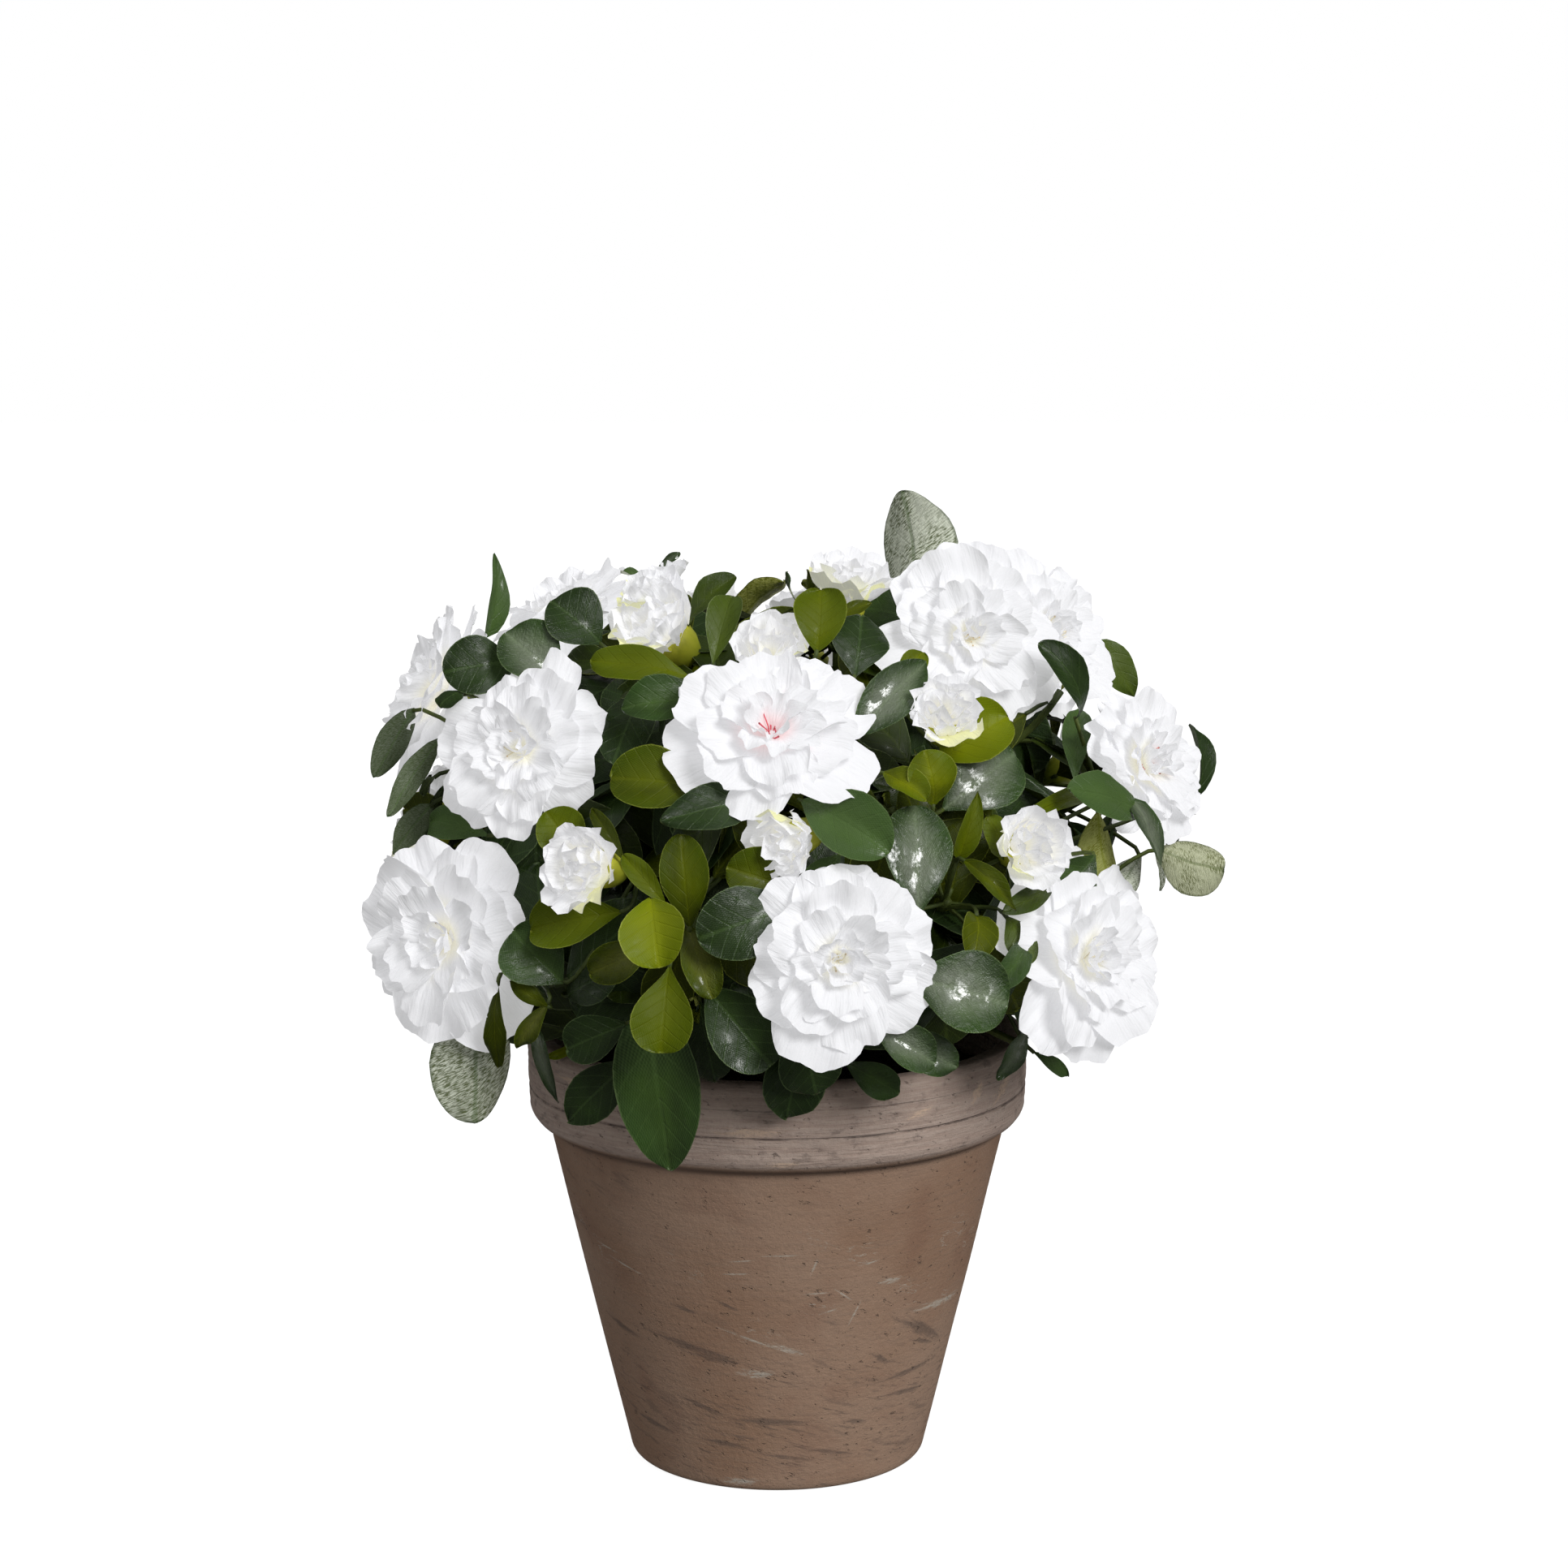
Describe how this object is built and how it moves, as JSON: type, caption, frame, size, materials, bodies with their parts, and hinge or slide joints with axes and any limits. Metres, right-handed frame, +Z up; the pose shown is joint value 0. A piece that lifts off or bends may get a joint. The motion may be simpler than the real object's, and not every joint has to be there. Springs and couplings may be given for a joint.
{
  "type": "artificial azalea in a clay pot",
  "caption": "domed artificial azalea shrub with double white blooms, buds and glossy green leaves, set in a tapered clay pot with a thick rolled rim",
  "frame": {"origin": "the middle of the pot's flat underside", "axes": "+Z up out of the pot; the crown's best side faces -Y"},
  "size_m": [0.1982, 0.1843, 0.2233],
  "materials": {
    "clay": "matt, weathered",
    "soil": "crumbly, dull",
    "stem": "moulded, satin",
    "foliage": "coated woven cloth, satin",
    "leaf_deep": "coated woven cloth, satin",
    "leaf_young": "coated woven cloth, satin",
    "petal": "thin matt cloth",
    "stamen": "dull"
  },
  "bodies": {
    "root": {"pot": "clay", "soil_plug": "soil", "stem": "stem", "bough_top_right": "stem", "foliage_top_right": "foliage", "bough_top_left": "stem", "foliage_top_left": "foliage", "bough_top_back": "stem", "foliage_top_back": "foliage", "bough_front_upper": "stem", "foliage_front_upper": "foliage", "bough_left_upper": "stem", "foliage_left_upper": "foliage", "bough_left_side": "stem", "foliage_left_side": "foliage", "bough_back_left": "stem", "foliage_back_left": "foliage", "bough_back_upper": "stem", "foliage_back_upper": "foliage", "bough_back_right": "stem", "foliage_back_right": "foliage", "bough_right_side": "stem", "foliage_right_side": "foliage", "bough_front_right": "stem", "foliage_front_right": "foliage", "bough_front_left": "stem", "foliage_front_left": "foliage", "bough_front_low": "stem", "foliage_front_low": "foliage", "bough_right_low": "stem", "foliage_right_low": "foliage", "bough_right_back_low": "stem", "foliage_right_back_low": "foliage", "bough_back_low_right": "stem", "foliage_back_low_right": "foliage", "bough_back_low_left": "stem", "foliage_back_low_left": "foliage", "bough_left_back_low": "stem", "foliage_left_back_low": "foliage", "bough_left_low_side": "stem", "foliage_left_low_side": "foliage", "bough_left_low": "stem", "foliage_left_low": "foliage"}
  },
  "joints": []
}
